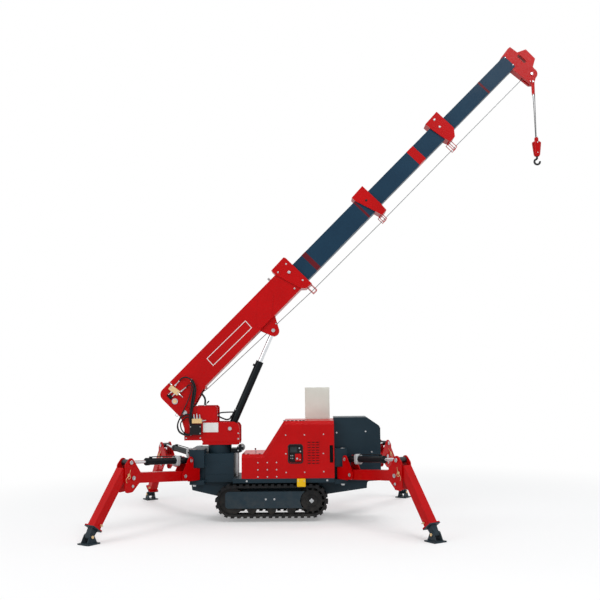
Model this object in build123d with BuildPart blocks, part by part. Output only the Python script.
from build123d import *
from math import atan2, cos, degrees, hypot, pi, radians, sin
import os

os.makedirs("parts", exist_ok=True)

# Frame: +X towards the engine end, +Z up, the ground at z = 0, millimetres
# Fits
PIN_GAP = 0.05
SLIDE_GAP = 0.5
SEAT_GAP = 0.3
TURN_GAP = 0.5
SIDE_GAP = 6.0

# Undercarriage
TRACK_LIFT = 52.0
TRACK_R = 215.0
TRACK_WHEELBASE = 1048.0
TRACK_WIDTH = 200.0
TRACK_GAUGE = 600.0
TRACK_BAND = 24.0
LUG_HEIGHT = 20.0
LUG_LENGTH = 44.0
LUG_COUNT = 40
TRACK_START = 193.0
ROLLER_R = 58.0
ROLLER_PITCH = 258.0
ROLLER_WIDTH = 120.0
FRAME_HALF = 65.0
COVER_MIDDLE_Z = 282.0
COVER_HALF_HEIGHT = 108.0
COVER_CORNER_R = 42.0
COVER_CLEAR = 12.0
COVER_FRONT = -84.0
COVER_REAR = 60.0
BEAM_DEPTH = 160.0
IDLER_BOSS_R = 40.0
DRIVE_CASE_R = 85.0
CROSS_BEAMS = [(470.0, 330.0), (960.0, 330.0)]
CROSS_BEAM = (110.0, 90.0)
SPROCKET_TEETH = 13
SPROCKET_TOOTH = 26.0
SPROCKET_ROOT_R = 138.0
HUB_CAP = 14.0
HUB_CAP_R = 74.0
HUB_CAP_BOLTS = 8

# Chassis, from the slew axis
CHASSIS_FRONT = -372.0
CHASSIS_REAR = 2166.0
SPINE_HALF_WIDTH = 185.0
DECK_BOTTOM = 500.0
DECK_TOP = 556.0
DECK_HALF_WIDTH = 370.0
COLUMN_FRONT = -172.0
COLUMN_REAR = 208.0
COLUMN_HALF_WIDTH = 235.0
COLUMN_TOP = 872.0
COLUMN_PANEL = (10.0, 755.0)
COLUMN_PANEL_SIZE = (227.0, 33.0)
COLUMN_SEAM_Z = 604.0
PRESSING = 3.0
DECK_NOTCH_R = 34.0

# Slewing
BEARING_R = 158.0
BEARING_TOP = 985.0
DRIVE_X = 285.0
DRIVE_Z = 930.0
DRIVE_R = 48.0
DRIVE_HALF = 110.0

# Outriggers, in the upright plane of each leg: distance from the swing post, height
LEG_MIDDLE = 675.0
POST_SPREAD_X = 980.0
POST_SPREAD_Y = 300.0
LEG_ANGLE = 56.0
CYLINDER_BASE = (150.0, 808.0)
ARM_PIVOT = (258.0, 617.0)
KNEE = (1165.0, 687.0)
ROD_PIN = (1205.0, 874.0)
ANKLE = (1776.0, 85.0)
LEG_SLOPE = 54.5
POST_R = 30.0
HUB_R = 56.0
HUB_BOTTOM = 536.0
HUB_TOP = 700.0
LUG_BLOCK_TOP = 935.0
LUG_PLATE = 56.0
POST_LUG = 58.0
POST_LUG_OUT = 45.0
BRACKET_HALF_WIDTH = 74.0
PLATE = 12.0
ARM_DEPTH = 124.0
ARM_WIDTH = 110.0
KNEE_PLATE_GAP = 122.0
LEG_TUBE = 110.0
LEG_WALL = 6.0
INNER_LEG = 92.0
LEG_FLANGE = 150.0
LEG_END = 737.0
LEG_FLANGE_THICK = 12.0
LEG_BORE_START = 100.0
INNER_START = 300.0
STEM_HALF_WIDTH = 38.0
KNEE_CLEAR = 80.0
LEG_REAR_END = 20.0
KNEE_PLATE = [
    # corners of the knee's plates from the knee pin: out, up, radius
    (40.0, 187.0, 52.0),
    (84.0, 143.0, 50.0),
    (84.0, -122.0, 48.0),
    (24.0, -127.0, 40.0),
    (-91.0, 0.0, 60.0),
]
LOCK_PINS = [(86.0, 44.0), (14.0, -96.0)]
FOOT_GAP = 88.0
FOOT_PIN_SMALL_R = 16.0
PAD_SIDE = 180.0
PAD_THICK = 16.0
OUTRIGGER_BARREL_R = 42.0
OUTRIGGER_ROD_R = 20.0
OUTRIGGER_BARREL_LENGTH = 735.0
OUTRIGGER_ROD_START = 357.0
GLAND_RIM = 5.0
GLAND_LENGTH = 46.0
PORT_SIDE = 30.0
PORT_HEIGHT = 20.0
PIVOT_PIN_R = 22.0
CORNERS = [
    # name, end (-1 front, 1 rear), side (-1 or 1 along Y)
    ("front_right", -1, -1),
    ("front_left", -1, 1),
    ("rear_right", 1, -1),
    ("rear_left", 1, 1),
]

# Boom, in its own frame: along the boom from the foot pin, square to it
BOOM_ANGLE = 45.0
FOOT_PIN_X = -459.0
FOOT_PIN_Z = 1415.0
FOOT_PIN_R = 30.0
BASE_BOTTOM = 57.5
BASE_DEPTH = 385.0
BASE_WIDTH = 240.0
BASE_WALL = 8.0
FOOT_END = -90.0
FOOT_OPEN = 420.0
FOOT_CORNER_R = 92.0
FOOT_HOLE_AT = (8.0, BASE_BOTTOM + BASE_DEPTH - 140.5)
FOOT_HOLE = (52.0, 84.0)
DOUBLER = [
    # corners of the plate welded on the base's side over the cylinder's ears: along, square, radius
    (1560.0, 118.0, 52.0),
    (1888.0, 330.0, 104.0),
    (1716.0, 118.0, 52.0),
]
DOUBLER_THICK = 6.0
COLLAR_BOLT_AT = (2347.0, 330.0)
WINCH_SHAFT_R = 20.0
COLLAR_HALF_WIDTH = 140.0
TIP_CHEEK_R = 80.0
TIP_HALF_WIDTH = 70.0
TIP_WINDOW_AT = (6786.0, 112.0)
TIP_WINDOW = (150.0, 44.0)
SHEAVE_HALF = 14.0
BASE_FRONT = 2455.0
COLLAR_LENGTH = 262.0
COLLAR_RISE = 79.5
NESTING = [
    # name, room below, above and beside inside the section round it, wall, rear end, front end
    ("2", 9.5, 59.5, 10.0, 6.0, 1990.0, 3905.0),
    ("3", 7.0, 25.0, 8.0, 6.0, 3460.0, 5385.0),
    ("4", 7.0, 22.0, 7.0, 6.0, 4930.0, 6640.0),
]
SECTIONS = []
outer_bottom, outer_depth, outer_width, outer_wall = BASE_BOTTOM, BASE_DEPTH, BASE_WIDTH, BASE_WALL
for name, below, above, beside, wall, rear, front in NESTING:
    outer_bottom = outer_bottom + outer_wall + below
    outer_depth = outer_depth - 2 * outer_wall - below - above
    outer_width = outer_width - 2 * outer_wall - 2 * beside
    outer_wall = wall
    SECTIONS.append((name, outer_bottom, outer_depth, outer_width, wall, rear, front))
HEADS = [
    # section, rise over it, length, drop below it, bottom's rear and front from the section's front
    ("2", 74.0, 210.0, 98.0, -93.0, -2.0),
    ("3", 95.0, 225.0, 74.0, -160.0, -71.0),
]
HEAD_RIM = 20.0
HEAD_PLATE = 8.0
COLLAR_LIP = 60.0
WINCH_AT = (12.0, 207.0)
WINCH_ROPE_R = 95.0
WINCH_FLANGE_R = 100.0
WINCH_LENGTH = 190.0
WINCH_CAP = 14.0
ROPE_R = 5.0
ROPE_BAR_AT = (415.0, 50.0)
ROPE_BAR_R = 16.0
GUIDE_BAR_R = 4.0
GUIDE_BOTTOM = -100.0
GUIDE_LENGTH = 74.0
GUIDES = [
    # name, middle along the boom, top n, near bar's and outer rope's place across
    ("1", 2418.0, 12.0, -18.0, 126.0),
    ("2", 3808.0, -10.0, -18.0, 108.0),
    ("3", 5222.0, 22.0, -18.0, 92.0),
]
ROPES = [
    # name, then u, n and y at each point of its route
    ("1", [(12.0, 112.0, 78.0), (415.0, 27.8, 78.0), (2420.0, -58.0, 126.0)]),
    ("2", [(2421.0, -58.0, 108.0), (3850.0, -76.0, 108.0)]),
    ("3", [(3850.0, -76.0, 92.0), (5270.0, -76.0, 92.0)]),
    ("4", [(5270.0, -76.0, 76.0), (6724.0, -88.5, 0.0)]),
]
SHEAVE_AT = (6724.0, -136.5)
SHEAVE_R = 48.0
LINK_AT = (6643.0, -226.0)
LINK_LENGTH = 180.0
LINK_EYE_R = 9.0
SHEAVE_PIN_R = 14.0
SHEAVE_FLANGE = 8.0
SHEAVE_GROOVE = 18.0
ROPE_WRAP = 93.0
EAR_PIN = (1628.0, -68.0)
EAR_R = 78.0
EAR_GAP = 112.0
EAR_SLOT_REAR = 1330.0
EAR_SLOT_FRONT = 1660.0

# Luffing cylinder
LUFF_BASE = (150.0, 1198.0)
LUFF_BARREL_R = 52.0
LUFF_ROD_R = 30.0
LUFF_BARREL_LENGTH = 985.0
LUFF_ROD_START = 506.0
LUFF_EYE_HALF = 60.0

# Turntable
TABLE_PLATE = 20.0
TABLE_GAP = 250.0
TABLE_BASE = 30.0
TABLE_BASE_MIDDLE = 15.0
TABLE_BASE_LENGTH = 470.0
TABLE_BASE_RIM = 20.0

# Hoods
HOOD_HALF_WIDTH = 370.0
HOOD_WALL = 4.0
HOOD_FRONT = 325.0
HOOD_REAR = 1545.0
HOOD_TOP = 1300.0
HOOD_LOW_TOP = 870.0
HOOD_SLOPE_START = 603.0
HOOD_SLOPE_END = 883.0
HOOD_BEVEL = 45.0
PANEL_AT = (1035.0, 874.0)
PANEL_WINDOW = (174.0, 226.0)
PANEL_CORNER_R = 24.0
PANEL_DEPTH = 60.0
LOUVRE_AT = (1271.0, 886.0)
LOUVRE_PITCH = (56.0, 34.0)
LOUVRE = (38.0, 12.0)
LOUVRE_COUNT = (3, 9)
INTAKE_AT = (1508.0, 869.0)
INTAKE = (46.0, 226.0)
REAR_HOOD_HALF_WIDTH = 205.0
REAR_HOOD_TOP = 1335.0
BOX_X = 1330.0
BOX_Y = 245.0
BOX_WIDTH = 340.0
BOX_DEPTH = 150.0
BOX_TOP = 1733.0
BOX_RIM = 12.0
BOX_SEAM = 3.0
BOX_SCREW_R = 7.0

# Hook
HOOK_TOP = 5180.0
BLOCK_R = 62.0
BLOCK_LENGTH = 272.0
HOOK_BOTTOM = 4780.0
HOOK_WIRE_R = 14.0
HOOK_BOWL_R = 38.0
HOOK_SWEEP = 280.0

# Valve block on the boom's foot
VALVE_AT = (115.0, BASE_BOTTOM + BASE_DEPTH - 126.5)
VALVE_LENGTH = 70.0
VALVE_DEPTH = 150.0
VALVE_WIDTH = 45.0
VALVE_TURN = 8.0

boom_cos = cos(radians(BOOM_ANGLE))
boom_sin = sin(radians(BOOM_ANGLE))
pad_reach = PAD_SIDE / 2 * (cos(radians(LEG_ANGLE)) + sin(radians(LEG_ANGLE)))
left_end = LEG_MIDDLE - POST_SPREAD_X - ANKLE[0] * cos(radians(LEG_ANGLE)) - pad_reach
sheave_x = FOOT_PIN_X + SHEAVE_AT[0] * boom_cos - SHEAVE_AT[1] * boom_sin
sheave_z = FOOT_PIN_Z + SHEAVE_AT[0] * boom_sin + SHEAVE_AT[1] * boom_cos
right_end = sheave_x + SHEAVE_R + BLOCK_R
SLEW_X = -(left_end + right_end) / 2


def side_plane(y=0.0):
    """The upright plane along the machine: local x from the slew axis, local y up."""
    return Plane(origin=(SLEW_X, y, 0), x_dir=(1, 0, 0), z_dir=(0, -1, 0))


def boom_plane(u=0.0, n=0.0, y=0.0):
    """The boom's upright plane: local x along the boom from the foot pin, local y square to it."""
    x = SLEW_X + FOOT_PIN_X + u * boom_cos - n * boom_sin
    z = FOOT_PIN_Z + u * boom_sin + n * boom_cos
    return Plane(origin=(x, y, z), x_dir=(boom_cos, 0, boom_sin), z_dir=(0, -1, 0))


def boom_cross(u):
    """A plane square to the boom at u: local x across the machine, local y up the boom's depth."""
    x = SLEW_X + FOOT_PIN_X + u * boom_cos
    z = FOOT_PIN_Z + u * boom_sin
    return Plane(origin=(x, 0, z), x_dir=(0, 1, 0), z_dir=(boom_cos, 0, boom_sin))


def leg_plane(end, side, at=(0.0, 0.0), turn=0.0):
    """A leg's upright plane: local x outwards from the swing post, local y up, turned by turn."""
    across = Vector(end * cos(radians(LEG_ANGLE)), side * sin(radians(LEG_ANGLE)), 0)
    post = Vector(SLEW_X + LEG_MIDDLE + end * POST_SPREAD_X, side * POST_SPREAD_Y, 0)
    origin = post + across * at[0] + Vector(0, 0, at[1])
    along = across * cos(radians(turn)) + Vector(0, 0, sin(radians(turn)))
    return Plane(origin=origin, x_dir=along, z_dir=across.cross(Vector(0, 0, 1)))


def finish(builder, name):
    """Label one finished piece and write it."""
    builder.part.label = name
    export_step(builder.part, f"parts/{name}.step")


def pin_across(plane, at, radius, half, head_radius=0.0, head=0.0):
    """A round pin across a plane at a point of it, with a flat head on each end."""
    with BuildSketch(plane) as pin:
        with Locations(at):
            Circle(radius)
    extrude(pin.sketch, amount=half, both=True)
    if head:
        for face in (half - head, -half):
            with BuildSketch(plane.offset(face)) as cap:
                with Locations(at):
                    Circle(head_radius)
            extrude(cap.sketch, amount=head)


def bosses_across(plane, at, radius, inner, outer):
    """A pin's two ends at a point of a plane, with nothing between them."""
    for start in (inner, -outer):
        with BuildSketch(plane.offset(start)) as boss:
            with Locations(at):
                Circle(radius)
        extrude(boss.sketch, amount=outer - inner)


def round_bar(start, end, radius):
    """A round bar from one point to another."""
    along = end - start
    with BuildSketch(Plane(origin=start, z_dir=along)) as disc:
        Circle(radius)
    extrude(disc.sketch, amount=along.length)


# Chassis: a spine between the tracks, a deck, the column under the slewing bearing, and four post lugs
with BuildPart() as chassis:
    with BuildSketch(side_plane()):
        with BuildLine():
            Polyline(
                (CHASSIS_FRONT, DECK_TOP),
                (CHASSIS_FRONT + 20, 392),
                (-26, 315),
                (1456, 328),
                (1974, 401),
                (1982, 490),
                (CHASSIS_REAR, DECK_BOTTOM),
                (CHASSIS_REAR, DECK_TOP),
                close=True,
            )
        spine = make_face()
        notch = spine.vertices().sort_by_distance((1982, 490))[0]
        fillet(notch, radius=DECK_NOTCH_R)
    extrude(amount=SPINE_HALF_WIDTH, both=True)
    with BuildSketch(side_plane()):
        with Locations(((COLUMN_REAR + HOOD_REAR) / 2, (DECK_BOTTOM + DECK_TOP) / 2)):
            Rectangle(HOOD_REAR - COLUMN_REAR, DECK_TOP - DECK_BOTTOM)
    extrude(amount=DECK_HALF_WIDTH, both=True)
    with BuildSketch(side_plane()):
        with Locations(((HOOD_REAR + CHASSIS_REAR) / 2, (DECK_BOTTOM + DECK_TOP) / 2)):
            Rectangle(CHASSIS_REAR - HOOD_REAR, DECK_TOP - DECK_BOTTOM)
    extrude(amount=REAR_HOOD_HALF_WIDTH, both=True)
    with BuildSketch(side_plane()):
        with Locations(((COLUMN_FRONT + COLUMN_REAR) / 2, (DECK_BOTTOM + COLUMN_TOP) / 2)):
            Rectangle(COLUMN_REAR - COLUMN_FRONT, COLUMN_TOP - DECK_BOTTOM)
    extrude(amount=COLUMN_HALF_WIDTH, both=True)
    for end in (-1, 1):
        post_x = LEG_MIDDLE + end * POST_SPREAD_X
        inner_x = COLUMN_FRONT if end < 0 else HOOD_REAR + 5
        outer_x = post_x + end * POST_LUG
        middle_x = (inner_x + outer_x) / 2
        lug_bottom = HUB_BOTTOM - TURN_GAP - LUG_PLATE
        with BuildSketch(side_plane()):
            with Locations((middle_x, HUB_BOTTOM - TURN_GAP - LUG_PLATE / 2)):
                Rectangle(abs(outer_x - inner_x), LUG_PLATE)
        extrude(amount=POST_SPREAD_Y + POST_LUG_OUT, both=True)
        with BuildSketch(side_plane()):
            with Locations((middle_x, (HUB_TOP + TURN_GAP + LUG_BLOCK_TOP) / 2)):
                Rectangle(abs(outer_x - inner_x), LUG_BLOCK_TOP - HUB_TOP - TURN_GAP)
        extrude(amount=POST_SPREAD_Y + POST_LUG_OUT, both=True)
        with BuildSketch(side_plane()):
            with Locations((middle_x, (lug_bottom + LUG_BLOCK_TOP) / 2)):
                Rectangle(abs(outer_x - inner_x), LUG_BLOCK_TOP - lug_bottom)
        extrude(amount=REAR_HOOD_HALF_WIDTH + 1 + PLATE, both=True)
        if end > 0:
            with BuildSketch(side_plane()):
                with Locations((middle_x, (DECK_TOP + LUG_BLOCK_TOP + 1) / 2)):
                    Rectangle(abs(outer_x - inner_x) + 2, LUG_BLOCK_TOP + 1 - DECK_TOP)
            extrude(amount=REAR_HOOD_HALF_WIDTH + 1, both=True, mode=Mode.SUBTRACT)
        for side in (-1, 1):
            post = (SLEW_X + post_x, side * POST_SPREAD_Y, HUB_BOTTOM - TURN_GAP)
            with BuildSketch(Plane(origin=post)):
                Circle(POST_R)
            extrude(amount=HUB_TOP - HUB_BOTTOM + 2 * TURN_GAP)
    for side in (-1, 1):
        with BuildSketch(side_plane(side * COLUMN_HALF_WIDTH)):
            with Locations(COLUMN_PANEL):
                Rectangle(*COLUMN_PANEL_SIZE)
            with Locations(((COLUMN_FRONT + COLUMN_REAR) / 2, COLUMN_SEAM_Z)):
                Rectangle(COLUMN_REAR - COLUMN_FRONT, PRESSING)
        extrude(amount=side * PRESSING, mode=Mode.SUBTRACT)
    with BuildSketch(Plane(origin=(SLEW_X, 0, COLUMN_TOP))):
        Circle(BEARING_R)
    extrude(amount=BEARING_TOP - COLUMN_TOP)
finish(chassis, "chassis")

# Slewing drive: a gear housing with its motor across the machine, on the column's rear edge
with BuildPart() as slew_drive:
    with BuildSketch(side_plane(DRIVE_HALF)):
        with Locations((DRIVE_X, DRIVE_Z)):
            Circle(DRIVE_R)
    extrude(amount=2 * DRIVE_HALF)
    with BuildSketch(Plane(origin=(SLEW_X, 0, COLUMN_TOP))):
        with Locations(((BEARING_R + DRIVE_X) / 2, 0)):
            Rectangle(DRIVE_X - BEARING_R, 2 * DRIVE_HALF - 40)
    extrude(amount=DRIVE_Z - COLUMN_TOP)
    with BuildSketch(Plane(origin=(SLEW_X, 0, COLUMN_TOP))):
        Circle(BEARING_R)
    extrude(amount=DRIVE_Z - COLUMN_TOP, mode=Mode.SUBTRACT)
finish(slew_drive, "slew_drive")

# Tracks: one closed loop each, with its lugs in the outline
band_outer = TRACK_R - LUG_HEIGHT
band_inner = band_outer - TRACK_BAND
track_z = TRACK_LIFT + TRACK_R
loop_length = 2 * TRACK_WHEELBASE + 2 * pi * band_outer


def lug_place(distance):
    """A lug's place on the loop, from the front of the top run: x, z and its turn."""
    bend = pi * band_outer
    half = TRACK_WHEELBASE / 2
    if distance < TRACK_WHEELBASE:
        return distance - half, band_outer, 0.0
    distance -= TRACK_WHEELBASE
    if distance < bend:
        turn = degrees(distance / band_outer)
        return half + band_outer * sin(radians(turn)), band_outer * cos(radians(turn)), -turn
    distance -= bend
    if distance < TRACK_WHEELBASE:
        return half - distance, -band_outer, 180.0
    turn = degrees((distance - TRACK_WHEELBASE) / band_outer)
    return -half - band_outer * sin(radians(turn)), -band_outer * cos(radians(turn)), 180.0 - turn


for name, side in (("right", -1), ("left", 1)):
    track_plane = side_plane(side * TRACK_GAUGE / 2)
    loop_centre = (TRACK_START + TRACK_WHEELBASE / 2, track_z)
    with BuildPart() as track:
        with BuildSketch(track_plane):
            with Locations(loop_centre):
                SlotCenterToCenter(TRACK_WHEELBASE, 2 * band_outer)
            for index in range(LUG_COUNT):
                lug_x, lug_z, turn = lug_place((index + 0.5) * loop_length / LUG_COUNT)
                with Locations(Location((loop_centre[0] + lug_x, loop_centre[1] + lug_z, 0), (0, 0, turn))):
                    Rectangle(LUG_LENGTH, 2 * LUG_HEIGHT)
            with Locations(loop_centre):
                SlotCenterToCenter(TRACK_WHEELBASE, 2 * band_inner, mode=Mode.SUBTRACT)
        extrude(amount=TRACK_WIDTH / 2, both=True)
    finish(track, f"track_{name}")

    idler = (TRACK_START, track_z)
    sprocket = (TRACK_START + TRACK_WHEELBASE, track_z)
    cover_rear = (TRACK_WHEELBASE + COVER_FRONT + COVER_REAR) / 2
    outer_face = FRAME_HALF if side < 0 else -FRAME_HALF - PLATE
    with BuildPart() as track_frame:
        for face in (FRAME_HALF, -FRAME_HALF - PLATE):
            with BuildSketch(track_plane.offset(face)):
                with Locations((TRACK_START + cover_rear, COVER_MIDDLE_Z)):
                    RectangleRounded(TRACK_WHEELBASE - COVER_FRONT + COVER_REAR, 2 * COVER_HALF_HEIGHT, COVER_CORNER_R)
                if face == outer_face:
                    with Locations(sprocket):
                        Circle(SPROCKET_ROOT_R + COVER_CLEAR, mode=Mode.SUBTRACT)
                        Rectangle(2 * COVER_REAR, 2 * COVER_REAR, align=(Align.MIN, Align.CENTER), mode=Mode.SUBTRACT)
            extrude(amount=PLATE)
        with BuildSketch(track_plane):
            with Locations((loop_centre[0], COVER_MIDDLE_Z)):
                Rectangle(TRACK_WHEELBASE - 2 * ROLLER_PITCH + 2 * ROLLER_R, BEAM_DEPTH)
        extrude(amount=FRAME_HALF, both=True)
        with BuildSketch(track_plane):
            with Locations(idler):
                Circle(band_inner - SEAT_GAP)
            for index in (-1, 0, 1):
                roller_z = track_z - band_inner + SEAT_GAP + ROLLER_R
                with Locations((loop_centre[0] + index * ROLLER_PITCH, roller_z)):
                    Circle(ROLLER_R)
            with Locations(sprocket):
                Circle(SPROCKET_ROOT_R)
                with PolarLocations(band_inner - SEAT_GAP - SPROCKET_TOOTH, SPROCKET_TEETH):
                    SlotOverall(2 * SPROCKET_TOOTH, SPROCKET_TOOTH)
        extrude(amount=ROLLER_WIDTH / 2, both=True)
        with BuildSketch(track_plane):
            with Locations(idler, sprocket):
                Circle(IDLER_BOSS_R)
        extrude(amount=FRAME_HALF + PLATE, both=True)
        with BuildSketch(track_plane):
            with Locations(sprocket):
                Circle(HUB_CAP_R)
        extrude(amount=-side * (ROLLER_WIDTH / 2 + HUB_CAP))
        with BuildSketch(track_plane.offset(-side * (ROLLER_WIDTH / 2 + HUB_CAP))):
            with Locations(sprocket):
                with PolarLocations(HUB_CAP_R - HUB_CAP, HUB_CAP_BOLTS):
                    Circle(HUB_CAP / 2)
        extrude(amount=-side * HUB_CAP / 2)
        with BuildSketch(side_plane(side * SPINE_HALF_WIDTH)):
            with Locations(sprocket):
                Circle(DRIVE_CASE_R)
            with Locations(*CROSS_BEAMS):
                Rectangle(*CROSS_BEAM)
        extrude(amount=-side * (TRACK_GAUGE / 2 - SPINE_HALF_WIDTH - ROLLER_WIDTH / 2))
    finish(track_frame, f"track_frame_{name}")

# Red hood over the deck, open below
with BuildPart() as hood:
    with BuildSketch(side_plane()):
        with BuildLine():
            Polyline(
                (HOOD_FRONT, DECK_TOP),
                (HOOD_FRONT, HOOD_LOW_TOP),
                (HOOD_SLOPE_START, HOOD_LOW_TOP),
                (HOOD_SLOPE_END, HOOD_TOP),
                (HOOD_REAR, HOOD_TOP),
                (HOOD_REAR, DECK_TOP),
                close=True,
            )
        make_face()
    extrude(amount=HOOD_HALF_WIDTH, both=True)
    long_edges = hood.edges().filter_by(lambda e: abs(e.tangent_at(0.5).Y) < 0.1 and abs(e.tangent_at(0.5).X) > 0.3)
    chamfer(long_edges.filter_by(lambda e: e.center().Z > DECK_TOP + 10), length=HOOD_BEVEL)
    offset(amount=-HOOD_WALL, openings=hood.faces().sort_by(Axis.Z)[0])
    near = side_plane(-HOOD_HALF_WIDTH)
    with BuildSketch(near):
        with Locations(PANEL_AT):
            RectangleRounded(PANEL_WINDOW[0] + 2 * HOOD_WALL, PANEL_WINDOW[1] + 2 * HOOD_WALL, PANEL_CORNER_R + HOOD_WALL)
    extrude(amount=-PANEL_DEPTH)
    with BuildSketch(near):
        with Locations(PANEL_AT):
            RectangleRounded(*PANEL_WINDOW, PANEL_CORNER_R)
    extrude(amount=HOOD_WALL - PANEL_DEPTH, mode=Mode.SUBTRACT)
    for side in (-1, 1):
        with BuildSketch(side_plane(side * HOOD_HALF_WIDTH)):
            with Locations(LOUVRE_AT):
                with GridLocations(*LOUVRE_PITCH, *LOUVRE_COUNT):
                    Rectangle(*LOUVRE)
            with Locations(INTAKE_AT):
                Rectangle(*INTAKE)
        extrude(amount=side * HOOD_WALL, mode=Mode.SUBTRACT)
finish(hood, "hood")

# Dark engine hood between the rear outriggers, open below
with BuildPart() as rear_hood:
    with BuildSketch(side_plane()):
        with BuildLine():
            Polyline(
                (HOOD_REAR, DECK_TOP),
                (HOOD_REAR, REAR_HOOD_TOP),
                (1985, REAR_HOOD_TOP),
                (2150, 1222),
                (CHASSIS_REAR, 1190),
                (CHASSIS_REAR, DECK_TOP),
                close=True,
            )
        make_face()
    extrude(amount=REAR_HOOD_HALF_WIDTH, both=True)
    offset(amount=-HOOD_WALL, openings=rear_hood.faces().sort_by(Axis.Z)[0])
finish(rear_hood, "rear_hood")

with BuildPart() as engine:
    with BuildSketch(Plane(origin=(SLEW_X + 1850, 0, DECK_TOP))):
        Rectangle(480, 340)
    extrude(amount=520)
finish(engine, "engine")

# Switch box on a post behind the hood's top
with BuildPart() as control_box:
    with BuildSketch(Plane(origin=(SLEW_X + BOX_X, BOX_Y, HOOD_TOP))):
        Rectangle(BOX_WIDTH, BOX_DEPTH)
    extrude(amount=BOX_TOP - HOOD_TOP)
    with BuildSketch(side_plane(BOX_Y - BOX_DEPTH / 2)) as box_door:
        with Locations((BOX_X, (BOX_TOP + HOOD_TOP) / 2)):
            Rectangle(BOX_WIDTH, BOX_TOP - HOOD_TOP)
            Rectangle(BOX_WIDTH - 2 * BOX_RIM, BOX_TOP - HOOD_TOP - 2 * BOX_RIM, mode=Mode.SUBTRACT)
    extrude(amount=-BOX_SEAM, mode=Mode.SUBTRACT)
    corners = (BOX_WIDTH - 2 * BOX_RIM, BOX_TOP - HOOD_TOP - 2 * BOX_RIM)
    with BuildSketch(side_plane(BOX_Y - BOX_DEPTH / 2)):
        with Locations((BOX_X, (BOX_TOP + HOOD_TOP) / 2)):
            with GridLocations(corners[0] - 2 * BOX_RIM, corners[1] - 2 * BOX_RIM, 2, 2):
                Circle(BOX_SCREW_R)
    extrude(amount=BOX_SEAM)
finish(control_box, "control_box")

# Turntable: two side plates on a round base, carrying the boom's foot and the luffing cylinder
with BuildPart() as turntable:
    with BuildSketch(Plane(origin=(SLEW_X, 0, BEARING_TOP + TURN_GAP))):
        Circle(BEARING_R)
        with Locations((TABLE_BASE_MIDDLE, 0)):
            Rectangle(TABLE_BASE_LENGTH, TABLE_GAP + 2 * TABLE_PLATE + 2 * TABLE_BASE_RIM)
    extrude(amount=TABLE_BASE)
    for offset_y in (TABLE_GAP / 2, -TABLE_GAP / 2 - TABLE_PLATE):
        with BuildSketch(side_plane().offset(offset_y)):
            with BuildLine():
                Polyline(
                    (-466, 1045),
                    (-230, 1045),
                    (-195, BEARING_TOP + TURN_GAP),
                    (272, BEARING_TOP + TURN_GAP),
                    (280, 1020),
                    (280, 1225),
                    (258, 1264),
                    (205, 1288),
                    (-20, 1288),
                    (-20, 1480),
                    (-45, 1506),
                    (-314, 1506),
                    (-390, 1430),
                    (-535, 1415),
                    (-466, 1200),
                    close=True,
                )
            make_face()
            with Locations((FOOT_PIN_X, FOOT_PIN_Z)):
                Circle(76)
        extrude(amount=TABLE_PLATE)
    pin_across(side_plane(), (FOOT_PIN_X, FOOT_PIN_Z), FOOT_PIN_R, TABLE_GAP / 2 + TABLE_PLATE + 8, 40, 8)
    pin_across(side_plane(), LUFF_BASE, FOOT_PIN_R, TABLE_GAP / 2 + TABLE_PLATE + 8, 40, 8)
    bosses_across(side_plane(), LUFF_BASE, 48, LUFF_EYE_HALF + TURN_GAP, TABLE_GAP / 2)
    with BuildSketch(side_plane()):
        with Locations((-330, 1120)):
            Rectangle(240, 150)
    extrude(amount=TABLE_GAP / 2, both=True)
finish(turntable, "turntable")

with BuildPart() as turntable_valve:
    with BuildSketch(side_plane(-TABLE_GAP / 2 - TABLE_PLATE)):
        with Locations((-310, 1190)):
            Rectangle(150, 140)
        with Locations((-290, 1305)):
            Rectangle(130, 60)
    extrude(amount=50)
finish(turntable_valve, "turntable_valve")


def boom_tube(bottom, depth, width, wall, rear, front):
    """A square box section along the boom, open at both ends."""
    with BuildSketch(boom_cross(rear)) as tube:
        with Locations((0, bottom + depth / 2)):
            Rectangle(width, depth)
            Rectangle(width - 2 * wall, depth - 2 * wall, mode=Mode.SUBTRACT)
    extrude(tube.sketch, amount=front - rear)


def boom_opening(section, rear, front):
    """Cuts the way for one section of the boom through what stands round it."""
    name, bottom, depth, width = section[:4]
    with BuildSketch(boom_cross(rear)) as opening:
        with Locations((0, bottom + depth / 2)):
            Rectangle(width + 2 * SLIDE_GAP, depth + 2 * SLIDE_GAP)
    extrude(opening.sketch, amount=front - rear, mode=Mode.SUBTRACT)


def rope_guide(middle, top, near, rope_y):
    """Two open loops of bar below the boom, joined by two rollers under the rope."""
    far = rope_y + ROPE_R + SEAT_GAP + GUIDE_BAR_R
    for across in (near, far):
        with BuildSketch(boom_plane(y=across)) as loop:
            with Locations((middle, (top + GUIDE_BOTTOM) / 2)):
                Rectangle(GUIDE_LENGTH, top - GUIDE_BOTTOM + 2 * GUIDE_BAR_R)
                Rectangle(GUIDE_LENGTH - 4 * GUIDE_BAR_R, top - GUIDE_BOTTOM - 2 * GUIDE_BAR_R, mode=Mode.SUBTRACT)
        extrude(loop.sketch, amount=GUIDE_BAR_R, both=True)
    with BuildSketch(boom_plane(y=near)) as rollers:
        with Locations((middle - GUIDE_LENGTH / 3, GUIDE_BOTTOM), (middle + GUIDE_LENGTH / 3, GUIDE_BOTTOM)):
            Circle(GUIDE_BAR_R)
    extrude(rollers.sketch, amount=near - far)


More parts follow.
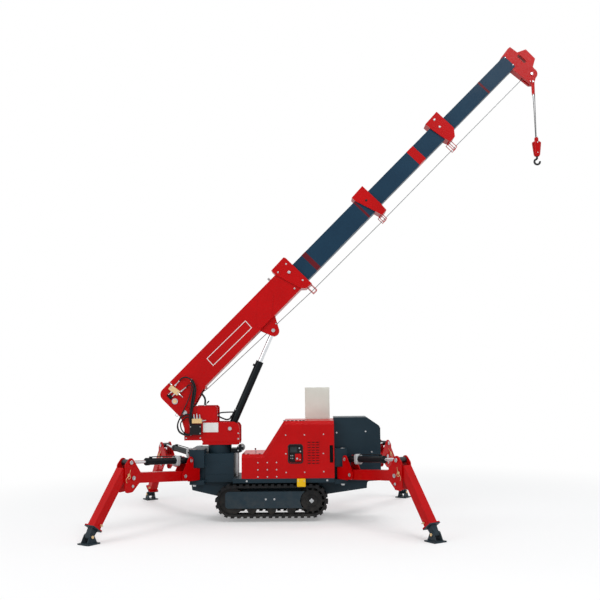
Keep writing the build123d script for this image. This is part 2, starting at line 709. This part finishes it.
# Base section of the boom, with its foot plates, collar and the cylinder's ears
with BuildPart() as boom_base:
    boom_tube(BASE_BOTTOM, BASE_DEPTH, BASE_WIDTH, BASE_WALL, FOOT_OPEN, BASE_FRONT)
    for offset_y in (BASE_WIDTH / 2 - BASE_WALL, -BASE_WIDTH / 2):
        with BuildSketch(boom_plane().offset(offset_y)):
            with BuildLine():
                Polyline(
                    (FOOT_END, 0),
                    (FOOT_END, BASE_BOTTOM + BASE_DEPTH),
                    (FOOT_OPEN, BASE_BOTTOM + BASE_DEPTH),
                    (FOOT_OPEN, BASE_BOTTOM),
                    (60, -45),
                    (-60, -45),
                    close=True,
                )
            foot_plate = make_face()
            heel = foot_plate.vertices().sort_by_distance((FOOT_END, BASE_BOTTOM + BASE_DEPTH))[0]
            fillet(heel, radius=FOOT_CORNER_R)
            Circle(FOOT_PIN_R + PIN_GAP, mode=Mode.SUBTRACT)
            with Locations(FOOT_HOLE_AT):
                Rectangle(*FOOT_HOLE, mode=Mode.SUBTRACT)
            with Locations(WINCH_AT):
                Circle(WINCH_SHAFT_R + PIN_GAP, mode=Mode.SUBTRACT)
        extrude(amount=BASE_WALL)
    with BuildSketch(boom_plane()):
        with BuildLine():
            Polyline(
                (FOOT_END + FOOT_CORNER_R, BASE_BOTTOM + BASE_DEPTH),
                (FOOT_OPEN + 1, BASE_BOTTOM + BASE_DEPTH),
                (FOOT_OPEN + 1, BASE_BOTTOM + BASE_DEPTH - BASE_WALL),
                (FOOT_END + FOOT_CORNER_R + 4, BASE_BOTTOM + BASE_DEPTH - BASE_WALL),
                close=True,
            )
        make_face()
    extrude(amount=BASE_WIDTH / 2, both=True)
    with BuildSketch(boom_plane()):
        with Locations(ROPE_BAR_AT):
            Circle(ROPE_BAR_R)
    extrude(amount=BASE_WIDTH / 2 - 1, both=True)
    for offset_y in (EAR_GAP / 2, -EAR_GAP / 2 - PLATE):
        with BuildSketch(boom_plane().offset(offset_y)):
            with Locations(EAR_PIN):
                Circle(EAR_R)
            with BuildLine():
                Polyline(
                    (EAR_PIN[0] - 130, BASE_BOTTOM + 2),
                    (EAR_PIN[0] - 62, EAR_PIN[1] - 46),
                    (EAR_PIN[0] + 72, EAR_PIN[1] - 28),
                    (EAR_PIN[0] + 160, BASE_BOTTOM + 2),
                    close=True,
                )
            make_face()
        extrude(amount=PLATE)
    bosses_across(boom_plane(), EAR_PIN, 36, EAR_GAP / 2, EAR_GAP / 2 + PLATE + 6)
    for face in (BASE_WIDTH / 2, -BASE_WIDTH / 2 - DOUBLER_THICK):
        with BuildSketch(boom_plane().offset(face)):
            for u, n, radius in DOUBLER:
                with Locations((u, n)):
                    Circle(radius)
            make_hull()
        extrude(amount=DOUBLER_THICK)
    with BuildSketch(boom_plane()):
        with BuildLine():
            Polyline(
                (BASE_FRONT - COLLAR_LENGTH, BASE_BOTTOM + BASE_DEPTH),
                (BASE_FRONT - COLLAR_LENGTH, BASE_BOTTOM + BASE_DEPTH + COLLAR_RISE),
                (BASE_FRONT - 15, BASE_BOTTOM + BASE_DEPTH + COLLAR_RISE + 8),
                (BASE_FRONT, BASE_BOTTOM + BASE_DEPTH + COLLAR_RISE - 17),
                (BASE_FRONT, 0),
                (BASE_FRONT - 100, 10),
                (BASE_FRONT - 150, BASE_BOTTOM),
                close=True,
            )
        make_face()
    extrude(amount=COLLAR_HALF_WIDTH, both=True)
    with BuildSketch(boom_cross(BASE_FRONT - COLLAR_LENGTH)):
        with Locations((0, BASE_BOTTOM + BASE_DEPTH / 2)):
            Rectangle(BASE_WIDTH - 2 * BASE_WALL, BASE_DEPTH - 2 * BASE_WALL)
    extrude(amount=COLLAR_LENGTH - COLLAR_LIP, mode=Mode.SUBTRACT)
    with BuildSketch(boom_cross(BASE_FRONT - COLLAR_LIP)):
        with Locations((0, BASE_BOTTOM + BASE_DEPTH / 2)):
            Rectangle(BASE_WIDTH - 2, BASE_DEPTH - 2)
    extrude(amount=COLLAR_LIP)
    boom_opening(SECTIONS[0], BASE_FRONT - COLLAR_LIP - 1, BASE_FRONT + 1)
    with BuildSketch(boom_cross(EAR_SLOT_REAR)):
        with Locations((0, BASE_BOTTOM)):
            Rectangle(EAR_GAP - 4, 4 * BASE_WALL)
    extrude(amount=EAR_SLOT_FRONT - EAR_SLOT_REAR, mode=Mode.SUBTRACT)
    bosses_across(boom_plane(), COLLAR_BOLT_AT, 20, COLLAR_HALF_WIDTH - 1, COLLAR_HALF_WIDTH + PLATE)
    rope_guide(*GUIDES[0][1:])
finish(boom_base, "boom_base")

for name, bottom, depth, width, wall, rear, front in SECTIONS:
    with BuildPart() as section:
        boom_tube(bottom, depth, width, wall, rear, front)
    finish(section, f"boom_section_{name}")

# Heads: a rim round each section's front end, with a front plate that guides the next section
for index, (name, rise, length, drop, low_rear, low_front) in enumerate(HEADS):
    bottom, depth, width, wall, rear, front = SECTIONS[index][1:]
    top = bottom + depth + rise
    low = bottom - drop
    with BuildPart() as head:
        with BuildSketch(boom_plane()):
            with BuildLine():
                Polyline(
                    (front - length, bottom + depth - 4),
                    (front - length, top - 10),
                    (front + HEAD_PLATE, top),
                    (front + HEAD_PLATE, bottom + 20),
                    (front + low_front, low),
                    (front + low_rear, low - 6),
                    (front + low_rear - 30, bottom + 4),
                    close=True,
                )
            make_face()
        extrude(amount=width / 2 + HEAD_RIM, both=True)
        with BuildSketch(boom_cross(rear)):
            with Locations((0, bottom + depth / 2)):
                Rectangle(width, depth)
        extrude(amount=front - rear, mode=Mode.SUBTRACT)
        boom_opening(SECTIONS[index + 1], rear, front + HEAD_PLATE + 1)
        rope_guide(*GUIDES[index + 1][1:])
    finish(head, f"boom_head_{name}")

# Boom tip with the sheave's cheeks, open between them for the rope
tip_bottom, tip_depth, tip_width = SECTIONS[2][1:4]
with BuildPart() as head_tip:
    with BuildSketch(boom_plane()):
        with BuildLine():
            Polyline(
                (6585, 96),
                (6600, 330),
                (6756, 351),
                (6797, 346),
                (6810, 220),
                (6926, 164),
                (6917, -22),
                (6809, -80),
                (6790, -180),
                (6650, -254),
                (6610, -216),
                close=True,
            )
        make_face()
        with Locations(SHEAVE_AT):
            Circle(TIP_CHEEK_R)
    extrude(amount=TIP_HALF_WIDTH, both=True)
    with BuildSketch(boom_cross(6500)):
        with Locations((0, tip_bottom + tip_depth / 2)):
            Rectangle(tip_width, tip_depth)
    extrude(amount=140, mode=Mode.SUBTRACT)
    with BuildSketch(boom_plane()):
        with Locations((6750, -220)):
            Rectangle(500, 300)
    extrude(amount=SHEAVE_HALF + 6, both=True, mode=Mode.SUBTRACT)
    with BuildSketch(boom_plane()):
        with Locations(TIP_WINDOW_AT):
            SlotOverall(*TIP_WINDOW, rotation=90)
    extrude(amount=TIP_HALF_WIDTH, both=True, mode=Mode.SUBTRACT)
    pin_across(boom_plane(), SHEAVE_AT, SHEAVE_PIN_R, TIP_HALF_WIDTH + 6, 24, 6)
    with BuildSketch(boom_plane().offset(TIP_HALF_WIDTH - 20)):
        with Locations(LINK_AT):
            Circle(10)
    extrude(amount=50)
finish(head_tip, "boom_head_tip")

with BuildPart() as tip_sheave:
    with BuildSketch(boom_plane()):
        with Locations(SHEAVE_AT):
            Circle(SHEAVE_R + SHEAVE_FLANGE)
            Circle(SHEAVE_PIN_R + PIN_GAP, mode=Mode.SUBTRACT)
    extrude(amount=SHEAVE_HALF, both=True)
    with BuildSketch(boom_plane()):
        with Locations(SHEAVE_AT):
            Circle(SHEAVE_R + SHEAVE_FLANGE + 1)
            Circle(SHEAVE_R - ROPE_R - TURN_GAP, mode=Mode.SUBTRACT)
    extrude(amount=SHEAVE_GROOVE / 2, both=True, mode=Mode.SUBTRACT)
finish(tip_sheave, "tip_sheave")

# Winch drum with its rope layer, turning on its shaft between the foot plates
with BuildPart() as winch_drum:
    pin_across(boom_plane(), WINCH_AT, WINCH_SHAFT_R, BASE_WIDTH / 2 + 1 + WINCH_CAP)
    bosses_across(boom_plane(), WINCH_AT, 2 * WINCH_SHAFT_R, BASE_WIDTH / 2 + 1, BASE_WIDTH / 2 + 1 + WINCH_CAP)
    pin_across(boom_plane(), WINCH_AT, WINCH_ROPE_R - ROPE_R - TURN_GAP, WINCH_LENGTH / 2)
    bosses_across(boom_plane(), WINCH_AT, WINCH_FLANGE_R, WINCH_LENGTH / 2 - 8, WINCH_LENGTH / 2)
finish(winch_drum, "winch_drum")

# Hoist rope along the boom: one stretch for each section, side by side so that they pass as it telescopes
for name, route in ROPES:
    with BuildPart() as stretch:
        points = [boom_plane(u, n, y).origin for u, n, y in route]
        for start, end in zip(points, points[1:]):
            round_bar(start, end, ROPE_R)
        if name == "4":
            rope_top = boom_plane(SHEAVE_AT[0], SHEAVE_AT[1] + SHEAVE_R)
            with BuildSketch(Plane(origin=rope_top.origin, x_dir=(0, 1, 0), z_dir=rope_top.x_dir)):
                Circle(ROPE_R)
            axle = Axis(boom_plane(*SHEAVE_AT).origin, (0, 1, 0))
            revolve(axis=axle, revolution_arc=ROPE_WRAP)
    finish(stretch, f"hoist_rope_{name}")

# Hanging rope, from the sheave's far side down to the hook block
hang_x = SLEW_X + sheave_x + SHEAVE_R
with BuildPart() as hook_line:
    with BuildSketch(Plane(origin=(hang_x, 0, HOOK_TOP - 20))):
        Circle(ROPE_R)
    extrude(amount=sheave_z - HOOK_TOP + 20)
finish(hook_line, "hook_line")

with BuildPart() as hook_block:
    with BuildSketch(Plane(origin=(hang_x, 0, HOOK_TOP), x_dir=(1, 0, 0), z_dir=(0, -1, 0))):
        with BuildLine():
            Polyline(
                (ROPE_R, 0),
                (14, 0),
                (28, -12),
                (28, -50),
                (BLOCK_R, -75),
                (BLOCK_R, -95),
                (44, -250),
                (30, -BLOCK_LENGTH),
                (0, -BLOCK_LENGTH),
                (0, -20),
                (ROPE_R, -20),
                close=True,
            )
        make_face()
    revolve(axis=Axis((hang_x, 0, 0), (0, 0, 1)))
finish(hook_block, "hook_block")

# Hook: a straight shank into a round bowl, open on one side
bowl_z = HOOK_BOTTOM + HOOK_WIRE_R + HOOK_BOWL_R
shank_top = HOOK_TOP - BLOCK_LENGTH - TURN_GAP
with BuildPart() as hook:
    with BuildSketch(Plane(origin=(hang_x, 0, bowl_z + HOOK_BOWL_R), x_dir=(0, 1, 0), z_dir=(-1, 0, 0))):
        Circle(HOOK_WIRE_R)
    revolve(axis=Axis((hang_x, 0, bowl_z), (0, -1, 0)), revolution_arc=HOOK_SWEEP)
    with BuildSketch(Plane(origin=(hang_x, 0, bowl_z + HOOK_BOWL_R))):
        Circle(HOOK_WIRE_R)
    extrude(amount=shank_top - bowl_z - HOOK_BOWL_R)
finish(hook, "hook")

# Anchor link for the rope's dead end, hanging beside the tip's cheek
link_at = boom_plane(*LINK_AT).origin
link_plane = Plane(origin=(link_at.X, -TIP_HALF_WIDTH - SIDE_GAP, link_at.Z), x_dir=(1, 0, 0), z_dir=(0, -1, 0))
with BuildPart() as anchor_link:
    with BuildSketch(link_plane):
        Circle(24)
        with Locations((0, -LINK_LENGTH)):
            Circle(18)
        make_hull()
        Circle(10 + PIN_GAP, mode=Mode.SUBTRACT)
        with Locations((0, -LINK_LENGTH)):
            Circle(LINK_EYE_R, mode=Mode.SUBTRACT)
    extrude(amount=PLATE)
finish(anchor_link, "anchor_link")

# Valve block on the near foot plate
with BuildPart() as boom_valve:
    with BuildSketch(boom_plane(y=-BASE_WIDTH / 2)):
        with Locations(Location((VALVE_AT[0], VALVE_AT[1], 0), (0, 0, VALVE_TURN))):
            Rectangle(VALVE_LENGTH, VALVE_DEPTH)
    extrude(amount=VALVE_WIDTH)
finish(boom_valve, "boom_valve")


def cylinder_frame(base, tip):
    """Length and angle of a cylinder from its base pin to its rod's pin."""
    return hypot(tip[0] - base[0], tip[1] - base[1]), degrees(atan2(tip[1] - base[1], tip[0] - base[0]))


def barrel(plane, radius, length, rod_radius, eye_radius, eye_half, pin_radius, gland_rim):
    """A barrel along a plane's x: its eye on the plane's origin, two ports, a gland and a bore for the rod."""
    end_plane = Plane(origin=plane.origin, x_dir=plane.z_dir, z_dir=plane.x_dir)
    with BuildSketch(end_plane.offset(eye_radius)) as tube:
        Circle(radius)
    extrude(tube.sketch, amount=length - eye_radius)
    with BuildSketch(plane) as eye:
        Circle(eye_radius)
        with Locations((eye_radius / 2 + 5, 0)):
            Rectangle(eye_radius + 10, 1.6 * eye_radius)
    extrude(eye.sketch, amount=eye_half, both=True)
    with BuildSketch(end_plane.offset(length - GLAND_LENGTH)) as gland:
        Circle(radius + gland_rim)
    extrude(gland.sketch, amount=GLAND_LENGTH)
    with BuildSketch(plane) as ports:
        with Locations((eye_radius + 3 * PORT_SIDE, radius), (length - GLAND_LENGTH - PORT_SIDE, radius)):
            Rectangle(PORT_SIDE, 2 * PORT_HEIGHT)
    extrude(ports.sketch, amount=PORT_SIDE / 2, both=True)
    with BuildSketch(end_plane.offset(eye_radius + 40)) as bore:
        Circle(rod_radius + PIN_GAP)
    extrude(bore.sketch, amount=length, mode=Mode.SUBTRACT)
    with BuildSketch(plane) as hole:
        Circle(pin_radius + PIN_GAP)
    extrude(hole.sketch, amount=eye_half, both=True, mode=Mode.SUBTRACT)


def rod(plane, radius, start, length, eye_radius, eye_half):
    """A rod along a plane's x from inside its barrel to the eye at its far end."""
    end_plane = Plane(origin=plane.origin, x_dir=plane.z_dir, z_dir=plane.x_dir)
    with BuildSketch(end_plane.offset(start)) as bar:
        Circle(radius)
    extrude(bar.sketch, amount=length - start)
    with BuildSketch(plane) as eye:
        with Locations((length, 0)):
            Circle(eye_radius)
    extrude(eye.sketch, amount=eye_half, both=True)


ear_x = FOOT_PIN_X + EAR_PIN[0] * boom_cos - EAR_PIN[1] * boom_sin
ear_z = FOOT_PIN_Z + EAR_PIN[0] * boom_sin + EAR_PIN[1] * boom_cos
luff_length, luff_angle = cylinder_frame(LUFF_BASE, (ear_x, ear_z))
luff_plane = Plane(
    origin=(SLEW_X + LUFF_BASE[0], 0, LUFF_BASE[1]),
    x_dir=(cos(radians(luff_angle)), 0, sin(radians(luff_angle))),
    z_dir=(0, -1, 0),
)
with BuildPart() as luff_barrel:
    barrel(luff_plane, LUFF_BARREL_R, LUFF_BARREL_LENGTH, LUFF_ROD_R, 50, LUFF_EYE_HALF, FOOT_PIN_R, 0)
finish(luff_barrel, "luff_barrel")
with BuildPart() as luff_rod:
    rod(luff_plane, LUFF_ROD_R, LUFF_ROD_START, luff_length, 35, EAR_GAP / 2 - SIDE_GAP)
finish(luff_rod, "luff_rod")

# Outriggers
arm_length, arm_angle = cylinder_frame(ARM_PIVOT, KNEE)
stay_length, stay_angle = cylinder_frame(CYLINDER_BASE, ROD_PIN)
slope = radians(LEG_SLOPE)
leg_length = (ANKLE[0] - KNEE[0]) * cos(slope) - (ANKLE[1] - KNEE[1]) * sin(slope)
leg_offset = (ANKLE[0] - KNEE[0]) * sin(slope) + (ANKLE[1] - KNEE[1]) * cos(slope)
for corner, end, side in CORNERS:
    plane = leg_plane(end, side)
    hub_plane = Plane(origin=plane.origin + Vector(0, 0, HUB_BOTTOM))
    hub_height = HUB_TOP - HUB_BOTTOM
    with BuildPart() as bracket:
        with BuildSketch(hub_plane):
            Circle(HUB_R)
        extrude(amount=hub_height)
        with BuildSketch(plane):
            with Locations((85, (HUB_BOTTOM + HUB_TOP) / 2)):
                Rectangle(110, hub_height - 14)
        extrude(amount=BRACKET_HALF_WIDTH - PLATE, both=True)
        for face in (BRACKET_HALF_WIDTH - PLATE, -BRACKET_HALF_WIDTH):
            with BuildSketch(plane.offset(face)):
                with Locations(CYLINDER_BASE):
                    Circle(48)
                with Locations(ARM_PIVOT):
                    Circle(62)
                with Locations((150, 600)):
                    Circle(50)
                make_hull()
                with Locations((90, (HUB_BOTTOM + HUB_TOP) / 2)):
                    Rectangle(220, hub_height - 14)
            extrude(amount=PLATE)
        with BuildSketch(hub_plane):
            Circle(POST_R + PIN_GAP)
        extrude(amount=hub_height, mode=Mode.SUBTRACT)
        for at in (CYLINDER_BASE, ARM_PIVOT):
            pin_across(plane, at, PIVOT_PIN_R, BRACKET_HALF_WIDTH + 8, 30, 8)
    finish(bracket, f"{corner}_bracket")

    arm_plane = leg_plane(end, side, ARM_PIVOT, arm_angle)
    knee_plane = leg_plane(end, side, KNEE)
    knee_half = KNEE_PLATE_GAP / 2
    with BuildPart() as arm:
        with BuildSketch(arm_plane):
            Circle(ARM_DEPTH / 2)
            with Locations(((arm_length - KNEE_CLEAR) / 2, 0)):
                Rectangle(arm_length - KNEE_CLEAR, ARM_DEPTH)
        extrude(amount=ARM_WIDTH / 2, both=True)
        with BuildSketch(arm_plane):
            with Locations((arm_length - KNEE_CLEAR - 80, 0)):
                Rectangle(160, ARM_DEPTH)
        extrude(amount=knee_half, both=True)
        for face in (knee_half, -knee_half - PLATE):
            with BuildSketch(knee_plane.offset(face)):
                for x, z, radius in KNEE_PLATE:
                    with Locations((x, z)):
                        Circle(radius)
                make_hull()
            extrude(amount=PLATE)
        with BuildSketch(arm_plane):
            Circle(PIVOT_PIN_R + PIN_GAP)
        extrude(amount=ARM_WIDTH, both=True, mode=Mode.SUBTRACT)
        pin_across(plane, KNEE, PIVOT_PIN_R, knee_half + PLATE + 8, 30, 8)
        bosses_across(plane, ROD_PIN, 30, knee_half, knee_half + PLATE + 8)
        for at in LOCK_PINS:
            bosses_across(knee_plane, at, 20, knee_half + PLATE - 2, knee_half + PLATE + 8)
    finish(arm, f"{corner}_arm")

    stay_plane = leg_plane(end, side, CYLINDER_BASE, stay_angle)
    with BuildPart() as stay_barrel:
        barrel(stay_plane, OUTRIGGER_BARREL_R, OUTRIGGER_BARREL_LENGTH, OUTRIGGER_ROD_R, 38, 50, PIVOT_PIN_R, GLAND_RIM)
    finish(stay_barrel, f"{corner}_barrel")
    with BuildPart() as stay_rod:
        rod(stay_plane, OUTRIGGER_ROD_R, OUTRIGGER_ROD_START, stay_length, 36, KNEE_PLATE_GAP / 2 - SIDE_GAP)
    finish(stay_rod, f"{corner}_rod")

    lower_plane = leg_plane(end, side, KNEE, -LEG_SLOPE)
    with BuildPart() as leg:
        with BuildSketch(lower_plane):
            with Locations(((LEG_END - LEG_REAR_END) / 2, leg_offset)):
                Rectangle(LEG_END + LEG_REAR_END, LEG_TUBE)
        extrude(amount=LEG_TUBE / 2, both=True)
        with BuildSketch(lower_plane):
            Circle(50)
            with Locations((20, leg_offset - LEG_TUBE / 2 + 2)):
                Rectangle(78, 4)
            make_hull()
        extrude(amount=LEG_TUBE / 2, both=True)
        with BuildSketch(lower_plane):
            with Locations((LEG_END - LEG_FLANGE_THICK / 2, leg_offset)):
                Rectangle(LEG_FLANGE_THICK, LEG_FLANGE)
        extrude(amount=LEG_FLANGE / 2, both=True)
        with BuildSketch(lower_plane):
            with Locations(((LEG_BORE_START + LEG_END + 10) / 2, leg_offset)):
                Rectangle(LEG_END + 10 - LEG_BORE_START, LEG_TUBE - 2 * LEG_WALL)
        extrude(amount=LEG_TUBE / 2 - LEG_WALL, both=True, mode=Mode.SUBTRACT)
        with BuildSketch(lower_plane):
            Circle(PIVOT_PIN_R + PIN_GAP)
        extrude(amount=LEG_TUBE, both=True, mode=Mode.SUBTRACT)
    finish(leg, f"{corner}_leg")

    flange_start = LEG_END + SEAT_GAP
    with BuildPart() as leg_inner:
        with BuildSketch(lower_plane):
            with Locations(((INNER_START + flange_start + LEG_FLANGE_THICK) / 2, leg_offset)):
                Rectangle(flange_start + LEG_FLANGE_THICK - INNER_START, INNER_LEG)
        extrude(amount=INNER_LEG / 2, both=True)
        with BuildSketch(lower_plane):
            with Locations((flange_start + LEG_FLANGE_THICK / 2, leg_offset)):
                Rectangle(LEG_FLANGE_THICK, LEG_FLANGE)
        extrude(amount=LEG_FLANGE / 2, both=True)
        with BuildSketch(lower_plane):
            with Locations((leg_length, leg_offset)):
                Circle(30)
            with Locations((flange_start + 5, leg_offset)):
                Rectangle(10, INNER_LEG)
            make_hull()
            with Locations((leg_length, leg_offset)):
                Circle(FOOT_PIN_SMALL_R + PIN_GAP, mode=Mode.SUBTRACT)
        extrude(amount=STEM_HALF_WIDTH, both=True)
    finish(leg_inner, f"{corner}_leg_inner")

    with BuildPart() as foot:
        with BuildSketch(plane):
            with Locations((ANKLE[0], PAD_THICK / 2)):
                Rectangle(PAD_SIDE, PAD_THICK)
        extrude(amount=PAD_SIDE / 2, both=True)
        for face in (FOOT_GAP / 2, -FOOT_GAP / 2 - PLATE):
            with BuildSketch(plane.offset(face)):
                with Locations(ANKLE):
                    Circle(34)
                with Locations((ANKLE[0], PAD_THICK + 4)):
                    Rectangle(140, 8)
                make_hull()
            extrude(amount=PLATE)
        pin_across(plane, ANKLE, FOOT_PIN_SMALL_R, FOOT_GAP / 2 + PLATE + 6, 24, 6)
    finish(foot, f"{corner}_foot")
